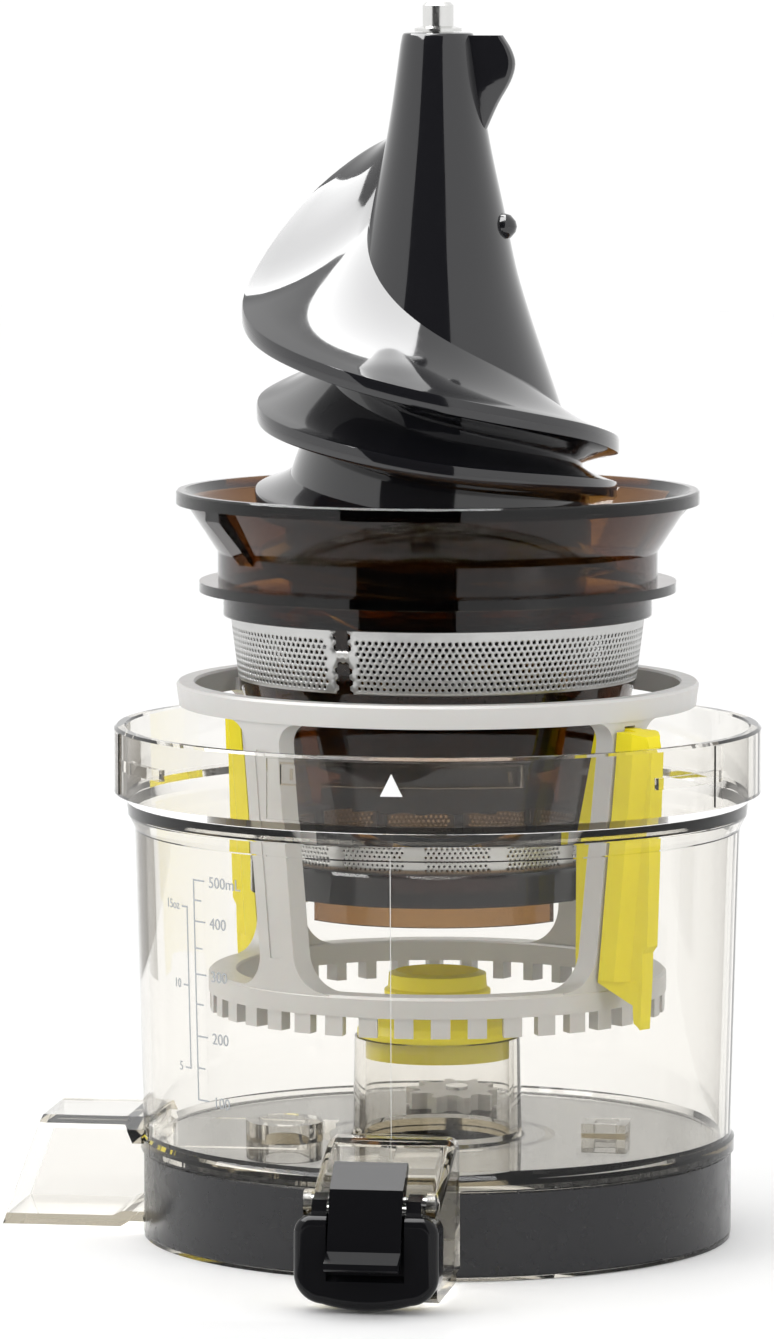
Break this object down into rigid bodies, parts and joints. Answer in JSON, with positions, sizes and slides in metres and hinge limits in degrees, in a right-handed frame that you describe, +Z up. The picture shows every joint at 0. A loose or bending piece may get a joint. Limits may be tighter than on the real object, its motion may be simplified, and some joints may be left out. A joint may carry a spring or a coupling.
{
  "type": "slow juicer juicing set",
  "caption": "Juicing set of an upright slow juicer, lifted apart: clear bowl with capped spout, geared wiper brush, mesh strainer and screw auger with a steel pin.",
  "frame": {"origin": "on the axis of the bowl, at its underside, in the mouth of the bore that centres it on the motor base", "axes": "+Z up along the axis of bowl, brush, strainer and auger; the juice spout points to -Y and the pulp spout to -X"},
  "size_m": [0.1672, 0.1846, 0.2726],
  "materials": {
    "clear_bowl": "clear",
    "smoky_plastic": "clear",
    "gloss_black": "gloss",
    "black_plastic": "satin",
    "dark_hub": "matte",
    "grey_plastic": "satin",
    "yellow_silicone": "satin",
    "steel": "polished",
    "steel_mesh": "satin"
  },
  "bodies": {
    "bowl": {"bowl_shell": "clear_bowl", "base_ring": "black_plastic", "pinion_pin": "steel", "cap_hinge_pin": "steel"},
    "post_seal": {"post_seal": "yellow_silicone"},
    "brush": {"brush_frame": "grey_plastic", "wiper_front": "yellow_silicone", "wiper_back": "yellow_silicone"},
    "strainer": {"strainer_body": "smoky_plastic", "strainer_mesh_upper": "steel_mesh", "strainer_mesh_lower": "steel_mesh"},
    "auger_pin": {"auger_top_pin": "steel"},
    "auger": {"auger_screw": "gloss_black", "auger_drive_hub": "dark_hub"},
    "pinion": {"brush_pinion": "grey_plastic"},
    "juice_cap": {"juice_cap": "black_plastic", "cap_seal": "yellow_silicone", "lever_pin": "steel"},
    "cap_lever": {"cap_lever": "black_plastic"},
    "pulp_packing": {"pulp_packing": "yellow_silicone"}
  },
  "joints": [
    {"name": "brush_spin", "type": "hinge", "parent": "bowl", "child": "post_seal", "pos_m": [0, 0, 0.044], "axis": [0, 0, 1], "continuous": true},
    {"name": "brush_lift", "type": "slide", "parent": "post_seal", "child": "brush", "axis": [0, 0, 1], "range_m": [-0.0277, 0.0631]},
    {"name": "strainer_lift", "type": "slide", "parent": "bowl", "child": "strainer", "axis": [0, 0, 1], "range_m": [-0.0492, 0.112]},
    {"name": "auger_lift", "type": "slide", "parent": "strainer", "child": "auger_pin", "axis": [0, 0, 1], "range_m": [-0.024, 0.075]},
    {"name": "auger_spin", "type": "hinge", "parent": "auger_pin", "child": "auger", "pos_m": [0, 0, 0.25], "axis": [0, 0, 1], "continuous": true},
    {"name": "pinion_spin", "type": "hinge", "parent": "bowl", "child": "pinion", "pos_m": [0, 0.0363, 0.0244], "axis": [0, 0, 1], "continuous": true},
    {"name": "cap_swing", "type": "hinge", "parent": "bowl", "child": "juice_cap", "pos_m": [0, -0.0982, 0.0226], "axis": [-1, 0, 0], "range_deg": [0, 45]},
    {"name": "lever_lift", "type": "hinge", "parent": "juice_cap", "child": "cap_lever", "pos_m": [0, -0.1024, 0.0216], "axis": [-1, 0, 0], "range_deg": [0, 15]},
    {"name": "packing_swing", "type": "hinge", "parent": "bowl", "child": "pulp_packing", "pos_m": [-0.0551, 0, 0.0029], "axis": [0, 1, 0], "range_deg": [0, 60]}
  ],
  "couplings": [
    {"joint": "brush_lift", "follows": "strainer_lift", "ratio": 0.563},
    {"joint": "pinion_spin", "follows": "auger_spin", "ratio": -2},
    {"joint": "brush_spin", "follows": "auger_spin", "ratio": -0.5}
  ]
}
